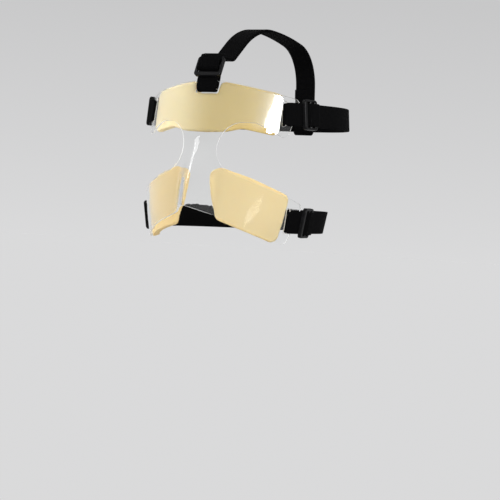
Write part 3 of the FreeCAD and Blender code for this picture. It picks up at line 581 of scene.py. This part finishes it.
# %% Moulded nylon
NYLON_TONES = (0.0035, 0.0035, 0.004, 1), (0.008, 0.008, 0.009, 1)
MOULDED_ROUGH, RUBBED_ROUGHER, PORE_MM = 0.36, 0.12, 0.03
SLIDERS = ("top", "left_upper", "left_lower", "right_upper", "right_lower")


def paint(node, material):
    """A carried-over solid takes a material in all its slots."""
    mesh = NODES[node].data
    if not mesh.materials:
        mesh.materials.append(material)
    for spot in range(len(mesh.materials)):
        mesh.materials[spot] = material


nylon = Finish("slider_nylon")
pores = nylon.noise(per_metre=2600.0, detail=2.0)
rub = nylon.noise(per_metre=220.0, detail=3.0).between(low=0.5, high=0.75)
moulded = nylon.surface(nylon.skin(
    Base_Color=nylon.mix(rub, *NYLON_TONES), Roughness=rub * RUBBED_ROUGHER + MOULDED_ROUGH,
    Specular_IOR_Level=0.1, Normal=nylon.bump(pores, PORE_MM, strength=0.6)))
for place in SLIDERS:
    paint(place + "_slider", moulded)
print("sliders:", len(SLIDERS))

# %% [markdown]
# Webbing
#
# The straps are woven elastic, 20 mm wide, folded back through each slider. Each solid gives the
# route: the two narrow sides of the strap are ribbons of triangles, and a line through the
# middles of the edges they share runs down the strap's centre. A curve with a flat bevel would
# also make a band, but it twists where the route folds back. The webbing is therefore swept
# along both lines, with a rounded edge, and carries its length and width as a map, so that the
# ribs follow every fold.

# %% The faces of a narrow side
WELD_MM, FACING_ACROSS = 0.005, 0.75
UP, LEFT = Vector((0, 0, 1)), Vector((1, 0, 0))


def welded(node):
    """The solid's own mesh with its split corners joined."""
    mesh = bmesh.new()
    mesh.from_mesh(NODES[node].data)
    bmesh.ops.remove_doubles(mesh, verts=mesh.verts, dist=WELD_MM * MM)
    bmesh.ops.triangulate(mesh, faces=mesh.faces)
    return mesh


def farthest(start, near):
    """The way over the faces of near from the last one reached to start, and all reached."""
    came, line = {start: None}, [start]
    for face in line:
        for edge in face.edges:
            for other in edge.link_faces:
                if other in near and other not in came:
                    came[other] = face
                    line.append(other)
    way, face = [], line[-1]
    while face is not None:
        way.append(face)
        face = came[face]
    return way, set(line)


def first_of(faces):
    """The face that comes first in the mesh."""
    return min(faces, key=lambda face: face.index)


def ribbon(mesh, across):
    """The largest group of faces that look this way, in order from end to end."""
    left, largest = {f for f in mesh.faces if f.normal.dot(across) > FACING_ACROSS}, set()
    while left:
        group = farthest(first_of(left), left)[1]
        largest = max(largest, group, key=len)
        left -= group
    end = farthest(first_of(largest), largest)[0][0]
    return farthest(end, largest)[0], largest


hump = welded("top_hump")
print("top hump, faces:", len(hump.faces), "down one side:", len(ribbon(hump, LEFT)[0]))

# %% The middle line of a narrow side


def middle_of(edge):
    """The point halfway along an edge."""
    return (edge.verts[0].co + edge.verts[1].co) / 2


def tip(face, near):
    """The middle of the shortest edge that a face has to itself."""
    own = [edge for edge in face.edges if sum(f in near for f in edge.link_faces) == 1]
    return middle_of(min(own, key=lambda edge: edge.calc_length()))


def narrow_side(mesh, across):
    """The line down one narrow side of a strap."""
    way, near = ribbon(mesh, across)
    middles = [tip(way[0], near)]
    for first, second in zip(way, way[1:]):
        middles.append(middle_of(next(e for e in first.edges if second in e.link_faces)))
    return numpy.array([*middles, tip(way[-1], near)])


def lengths(rows):
    """The length of each row of numbers, kept as a column."""
    return numpy.linalg.norm(rows, axis=1, keepdims=True)


def evenly(points, count):
    """The same line with count points, equally far apart, and its length."""
    far = numpy.concatenate([[0], numpy.cumsum(lengths(numpy.diff(points, axis=0)))])
    at = numpy.linspace(0, far[-1], count)
    return numpy.stack([numpy.interp(at, far, points[:, k]) for k in range(3)], axis=1), far[-1]


print("top hump, mm along:", round(evenly(narrow_side(hump, LEFT), 2)[1] / MM, 1))
hump.free()

# %% A strap's two lines
STEP_MM, FEWEST_STEPS, LINE_TURNS = 0.8, 12, 3


def softened(line, turns):
    """A line with its small corners evened out. The ends stay."""
    for _ in range(turns):
        line[1:-1] = line[1:-1] / 2 + (line[:-2] + line[2:]) / 4
    return line


def strap_lines(node, across):
    """The lines down both narrow sides, in equal steps from the same end, and their length."""
    mesh = welded(node)
    high, low = narrow_side(mesh, across), narrow_side(mesh, -across)
    mesh.free()
    if numpy.linalg.norm(high[0] - low[0]) > numpy.linalg.norm(high[0] - low[-1]):
        low = low[::-1]
    count = max(FEWEST_STEPS, int(evenly(high, 2)[1] / (STEP_MM * MM)))
    high, length = evenly(high, count)
    low, _ = evenly(low, count)
    return softened(high, LINE_TURNS), softened(low, LINE_TURNS), length


print("steps along the top hump:", len(strap_lines("top_hump", LEFT)[0]))

# %% Where webbing bunches
FOLD_PINCH, PINCH_REACH_MM, FOLDED_BACK = 0.13, 3.5, 1.6


def pinch(along, step):
    """Webbing bunches a little where a slot folds it right back on itself."""
    way = along / lengths(along)
    reach = max(1, int(PINCH_REACH_MM * MM / step))
    share = numpy.ones(len(way))
    for i in range(reach, len(way) - reach):
        turned = 1 - float(way[i - reach] @ way[i + reach])
        share[i] = 1 - FOLD_PINCH * min(turned / FOLDED_BACK, 1) ** 2
    return softened(share, 2 * reach)


print("width left at a full fold:", 1 - FOLD_PINCH)

# %% Sweeping webbing along its two lines
HALF_THICKNESS_MM = 0.88
SECTION_SHARES = [
    (-1, 0.0), (-0.992, 0.5), (-0.97, 0.82), (-0.93, 0.97), (-0.86, 1.0), (-0.62, 0.94),
    (-0.3, 0.96), (0, 0.95), (0.3, 0.96), (0.62, 0.94), (0.86, 1.0), (0.93, 0.97),
    (0.97, 0.82), (0.992, 0.5), (1, 0.0)]
SECTION = SECTION_SHARES + [(x, -y) for x, y in SECTION_SHARES[-2:0:-1]]
MAP = "webbing"


def swept(name, high, low, length):
    """The webbing's section carried along two lines, with a map of length and width."""
    count, around = len(high), len(SECTION)
    middle, wide = (high + low) / 2, high - low
    along = numpy.gradient(middle, axis=0)
    wide = wide * pinch(along, length / count)[:, None]
    out = numpy.cross(along, wide)
    out /= lengths(out)
    points = numpy.concatenate([
        middle[:, None] + wide[:, None] * (x / 2) + out[:, None] * (y * HALF_THICKNESS_MM * MM)
        for x, y in SECTION], axis=1)
    faces = [(i * around + k, i * around + (k + 1) % around,
              (i + 1) * around + (k + 1) % around, (i + 1) * around + k)
             for i in range(count - 1) for k in range(around)]
    faces += [tuple(range(around))[::-1], tuple((count - 1) * around + k for k in range(around))]
    data = bpy.data.meshes.new(name)
    data.from_pydata(points.reshape(-1, 3).tolist(), [], faces)
    at = numpy.linspace(0, length, count)
    half = float(lengths(wide).mean()) / 2
    layer = data.uv_layers.new(name=MAP)
    for loop in data.loops:
        step, spot = divmod(loop.vertex_index, around)
        layer.data[loop.index].uv = (at[step], SECTION[spot][0] * half)
    data.validate()
    print(name, "length mm", round(length / MM), "width", round(2 * half / MM, 1))
    return data


def webbing(name, node, body, across, material):
    """Woven webbing in place of a strap's plain solid."""
    piece = new_piece(name, swept(name, *strap_lines(node, across)), material)
    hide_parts(node)
    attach(piece, body)
    return piece


print("points round the webbing:", len(SECTION))

# %% [markdown]
# Woven elastic
#
# Ribs cross the elastic about every millimetre, and columns of rubber threads run down it. Both
# come from the map made above, as two sine waves: single threads would be too fine to model.
# The yarn is black and dull, and a little lint makes it less than perfect. Its black is painted
# darker in the grooves and lighter on the crests, as painted shade and painted highlight.

# %% Woven black elastic
RIB_MM, COLUMN_MM, WEAVE_MM = 1.15, 0.9, 0.35
RIB_SHADE_TONES = (0.0006, 0.0006, 0.0008, 1), (0.004, 0.004, 0.0043, 1)
LINT_TONE, LINT_SHARE = (0.02, 0.02, 0.02, 1), 0.5
RIB_SHARE, RIB_SHADE_SHARE, YARN_RELIEF_SHARE = 0.65, 0.7, 0.8


def waves(distance_mm, step_mm):
    """A sine wave from 0 to 1 with this step."""
    half = 0.5
    return (distance_mm * (math.tau / step_mm)).sine() * half + half


weave = Finish("woven_elastic")
run = weave.add("ShaderNodeUVMap", {"uv_map": MAP})
rib, column = [
    waves(weave.part(run, way) / MM, step) for way, step in ((X, RIB_MM), (Y, COLUMN_MM))]
yarn = rib * RIB_SHARE + column * (1 - RIB_SHARE)
fuzz = weave.noise(per_metre=1400.0, detail=3.0)
specks = weave.noise(per_metre=420.0, detail=4.0, roughness=0.7)
lint = specks.between(low=0.64, high=0.74) * LINT_SHARE
# The black is painted darker in the grooves and lighter on the crests of ribs and columns: painted
# shade and painted highlight.
black = weave.mix(yarn * RIB_SHADE_SHARE + fuzz * (1 - RIB_SHADE_SHARE), *RIB_SHADE_TONES)
relief = yarn * YARN_RELIEF_SHARE + fuzz * (1 - YARN_RELIEF_SHARE)
elastic = weave.surface(weave.skin(
    Base_Color=weave.mix(lint, black, LINT_TONE), Roughness=0.85, Specular_IOR_Level=0.02,
    Normal=weave.bump(relief, WEAVE_MM, strength=0.8)))
webbing("upper_webbing", "upper_strap", "mask", UP, elastic)
webbing("lower_webbing", "lower_strap", "mask", UP, elastic)
webbing("top_webbing", "top_strap", "mask", LEFT, elastic)
for place in SLIDERS:
    webbing(place + "_webbing_hump", place + "_hump", place + "_slider_set",
            LEFT if place == "top" else UP, elastic)

# %% [markdown]
# Thread
#
# A box of stitches closes the top strap's loop at the back. A seam could be a tube with a dashed
# finish, but each real stitch is a short arch of thread that rises out of the webbing and dives
# back into it, so the box is built as many small arches.

# %% One stitch
THREAD_RADIUS_MM, ARCH_MM, ROUND, STEPS = 0.26, 0.3, 8, 7
THREAD_TONES = (0.008, 0.008, 0.009, 1), (0.04, 0.04, 0.042, 1)
cotton = Finish("black_thread")
twist = cotton.noise(per_metre=3000.0, detail=1.0)
thread = cotton.surface(cotton.skin(Base_Color=cotton.mix(twist, *THREAD_TONES), Roughness=0.6))


def stitch(mesh, start, end, out):
    """One arch of thread between two holes."""
    side = (end - start).normalized().cross(out)
    rings = []
    for step in range(STEPS):
        share = step / (STEPS - 1)
        rise = (math.sin(math.pi * share) * 2 - 1) * ARCH_MM * MM
        middle = start.lerp(end, share) + out * rise
        ring = []
        for k in range(ROUND):
            turn = math.tau * k / ROUND
            ring.append(mesh.verts.new(
                middle + (side * math.cos(turn) + out * math.sin(turn)) * THREAD_RADIUS_MM * MM))
        rings.append(ring)
    for first, second in zip(rings, rings[1:]):
        for k in range(ROUND):
            mesh.faces.new((first[k], second[k], second[(k + 1) % ROUND], first[(k + 1) % ROUND]))
    mesh.faces.new(rings[0])
    mesh.faces.new(rings[-1][::-1])


print("thread, mm:", 2 * THREAD_RADIUS_MM)

# %% A box of stitches
STITCH_MM, HOLE_SHARE = 1.9, 0.08


def flat_side(node):
    """Middle, half sizes and directions of the plate that a node's mesh fills."""
    points = numpy.array([vertex.co for vertex in NODES[node].data.vertices])
    middle = (points.max(axis=0) + points.min(axis=0)) / 2
    _, _, ways = numpy.linalg.svd(points - middle, full_matrices=False)
    halves = numpy.abs((points - middle) @ ways.T).max(axis=0)
    return Vector(middle), halves, [Vector(way) for way in ways]


middle, halves, ways = flat_side("top_strap_stitching")
out = ways[2] if ways[2].y > 0 else -ways[2]
inset = THREAD_RADIUS_MM * MM
corners = [middle + ways[0] * a * (halves[0] - inset) + ways[1] * b * (halves[1] - inset)
           for a, b in ((-1, -1), (1, -1), (1, 1), (-1, 1))]
box_mesh = bmesh.new()
for first, second in zip(corners, corners[1:] + corners[:1]):
    count = round((second - first).length / (STITCH_MM * MM))
    for number in range(count):
        stitch(box_mesh, first.lerp(second, (number + HOLE_SHARE) / count),
               first.lerp(second, (number + 1 - HOLE_SHARE) / count), out)
bmesh.ops.recalc_face_normals(box_mesh, faces=box_mesh.faces)
box_stitches = new_piece("box_stitches", mesh_data("box_stitches", box_mesh), thread)
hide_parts("top_strap_stitching")
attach(box_stitches, "mask")
print("stitches, faces:", len(box_stitches.data.polygons),
      "plate mm:", [round(2 * half / MM, 1) for half in halves])

# %% [markdown]
# Foam pads
#
# The pads are cut from soft cream foam and lie against the sheet. Each one is remeshed from its
# solid into small even faces and drawn back onto the solid's surface. Then its sides swell out
# behind the sheet, most along the upper edge, as foam does that is pressed against a flat plate.
# A cloth simulation could do that to a stuffed cover, but foam cut from a block has none, so the
# points are moved by a rule. The foam is pale with fine cells. The brow pad grows darker from its
# middle to the wearer's left, and the right cheek's foam is darker, as painted shade.

# %% Closed-cell foam
DARKENING_FROM_TO_MM, LEFT_END_TONE = (-34, 10), (0.66, 0.50, 0.20, 1)
PIT_TONE, PIT_SHARE = (0.62, 0.48, 0.24, 1), 0.12
CELLS_PER_METRE, CELL_MM, CELL_SHARE = 1300.0, 0.12, 0.6
GLOW_REACH = (0.004, 0.003, 0.0015)


def foam_finish(name, darker, lighter, left_end_tone=None):
    """Cream foam, and perhaps a darker tone from the middle to the wearer's left."""
    foam = Finish(name)
    cells = foam.add(
        "ShaderNodeTexVoronoi", {"feature": "F1"},
        {"Vector": foam.place(), "Scale": CELLS_PER_METRE})
    pits = foam.noise(per_metre=900.0, detail=3.0)
    cream = foam.mix(foam.noise(per_metre=45.0, detail=3.0), darker, lighter)
    if left_end_tone:
        across = foam.part(foam.place(), X) / MM
        cream = foam.mix(across.between(*DARKENING_FROM_TO_MM), cream, left_end_tone)
    pitted = pits.between(low=0.6, high=0.8) * PIT_SHARE
    relief = cells * CELL_SHARE + pits * (1 - CELL_SHARE)
    return foam.surface(foam.skin(
        Base_Color=foam.mix(pitted, cream, PIT_TONE),
        Roughness=0.9, Specular_IOR_Level=0.2, Sheen_Weight=0.1, Subsurface_Weight=0.15,
        Subsurface_Radius=GLOW_REACH, Subsurface_Scale=1.0,
        Normal=foam.bump(relief, CELL_MM, strength=0.5)))


cream_foam = foam_finish("cream_foam", (0.87, 0.67, 0.328, 1), (0.91, 0.71, 0.367, 1))
# The right cheek's foam is a darker copy of the cream foam, as painted shade.
shaded_foam = foam_finish("shaded_cream_foam", (0.80, 0.59, 0.273, 1), (0.84, 0.63, 0.31, 1))
# The brow's foam grows darker from its middle to the wearer's left.
brow_foam = foam_finish(
    "brow_cream_foam", (0.88, 0.73, 0.42, 1), (0.92, 0.77, 0.46, 1), LEFT_END_TONE)
print("foams:", cream_foam.name, shaded_foam.name, brow_foam.name)

# %% Small even faces
PAD_VOXEL_MM, PAD_TURNS = 1.0, 2


def remeshed(piece):
    """A mesh of even faces over the piece's own."""
    even = piece.modifiers.new("even", "REMESH")
    even.mode, even.voxel_size = "VOXEL", PAD_VOXEL_MM * MM
    graph = bpy.context.evaluated_depsgraph_get()
    fine = bpy.data.meshes.new_from_object(piece.evaluated_get(graph))
    piece.modifiers.clear()
    return fine


def soften_faces(data):
    """Takes the small steps out of a mesh."""
    mesh = bmesh.new()
    mesh.from_mesh(data)
    for _ in range(PAD_TURNS):
        bmesh.ops.smooth_vert(mesh, verts=mesh.verts, factor=0.5,
                              use_axis_x=True, use_axis_y=True, use_axis_z=True)
    mesh.to_mesh(data)
    mesh.free()


print("pad faces, mm:", PAD_VOXEL_MM)

# %% A pad from its solid
EDGE_REACH_MM, SIDE_SWELL_MM, CUT_WAVE_MM, CUT_WAVES_PER_METRE = 4.0, 0.5, 0.25, 140
NOTCH_MM, NOTCH_FADE_MM, SINK_MM = 11, 6, 0.08
SWELL_TURN, SWELL_EASE = 0.8 * math.pi, 0.6


def side_swell_mm(spot, outwards, depth, upper_swell_mm):
    """How far foam stands out at this share of its depth, and more along an upper edge."""
    beside_notch = min(max(abs(spot.x) / MM - NOTCH_MM, 0) / NOTCH_FADE_MM, 1)
    lift = upper_swell_mm * max(outwards.z, 0) * beside_notch
    swell = (SIDE_SWELL_MM + lift) * math.sin(SWELL_TURN * depth ** SWELL_EASE)
    return swell + noise.noise(spot * CUT_WAVES_PER_METRE) * CUT_WAVE_MM


def foam_pad(name, node, material, upper_swell_mm):
    """Small even faces on the solid's surface, then sides that swell out behind the sheet."""
    joined = bmesh.new()
    joined.from_mesh(NODES[node].data)
    groups = patches(joined)
    front = tree_of(front_and_back(groups)[0])
    sides = tree_of([face for group in groups[2:] for face in group])
    bmesh.ops.remove_doubles(joined, verts=joined.verts, dist=WELD_MM * MM)
    solid = BVHTree.FromBMesh(joined)
    piece = new_piece(name, mesh_data(name, joined))
    fine = piece.data = remeshed(piece)
    thickness = max(front.find_nearest(vertex.co)[3] for vertex in fine.vertices)
    for vertex in fine.vertices:
        spot, normal, _, _ = solid.find_nearest(vertex.co)
        _, outwards, _, away = sides.find_nearest(spot)
        depth = front.find_nearest(spot)[3] / thickness
        near_side = max(0, 1 - away / (EDGE_REACH_MM * MM)) ** 2
        swell = side_swell_mm(spot, outwards, depth, upper_swell_mm)
        vertex.co = spot - normal * SINK_MM * MM + outwards * (swell * near_side * MM)
    soften_faces(fine)
    fine.materials.clear()
    fine.materials.append(material)
    fine.polygons.foreach_set("use_smooth", [True] * len(fine.polygons))
    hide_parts(node)
    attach(piece, "mask")
    print(name, "faces", len(fine.polygons), "thickness mm", round(thickness / MM, 1))
    return piece


foam_pad("forehead_foam", "forehead_pad", brow_foam, upper_swell_mm=2.4)
foam_pad("left_cheek_foam", "left_cheek_pad", cream_foam, upper_swell_mm=0.4)
foam_pad("right_cheek_foam", "right_cheek_pad", shaded_foam, upper_swell_mm=0.4)

# %% [markdown]
